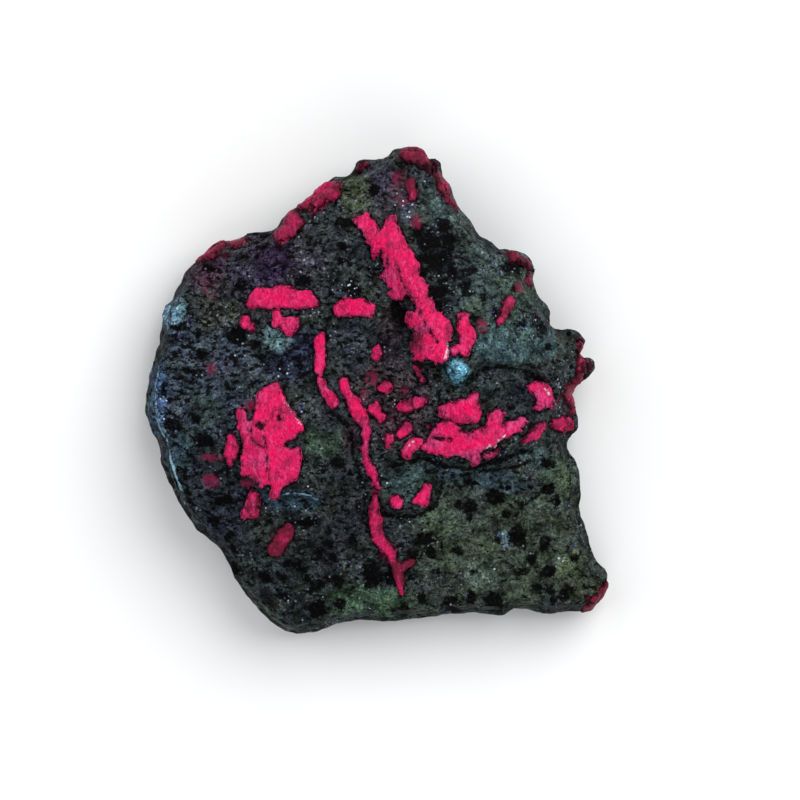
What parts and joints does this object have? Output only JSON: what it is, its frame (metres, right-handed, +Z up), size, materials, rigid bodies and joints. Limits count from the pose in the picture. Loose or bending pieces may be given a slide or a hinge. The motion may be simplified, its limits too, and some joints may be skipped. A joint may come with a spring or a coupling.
{
  "type": "ruby in zoisite stone",
  "caption": "Rough stone of green zoisite with black grains and proud ruby blades, bars and lumps, lying flat with its broad broken face up.",
  "frame": {"origin": "on the flat foot, under the middle of the stone's bounding box", "axes": "+Z up out of the broad face, +Y along the stone's longest extent towards its pointed summit, +X to the right seen from above"},
  "size_m": [0.1, 0.1052, 0.0391],
  "materials": {
    "rock": "rough broken zoisite rock, dark grey-green with black amphibole grains, faint waxy sheen",
    "ruby": "rough ruby crystals that glow hot pink, granular with small pits and creases"
  },
  "bodies": {
    "root": {"stone": "rock"}
  },
  "joints": []
}
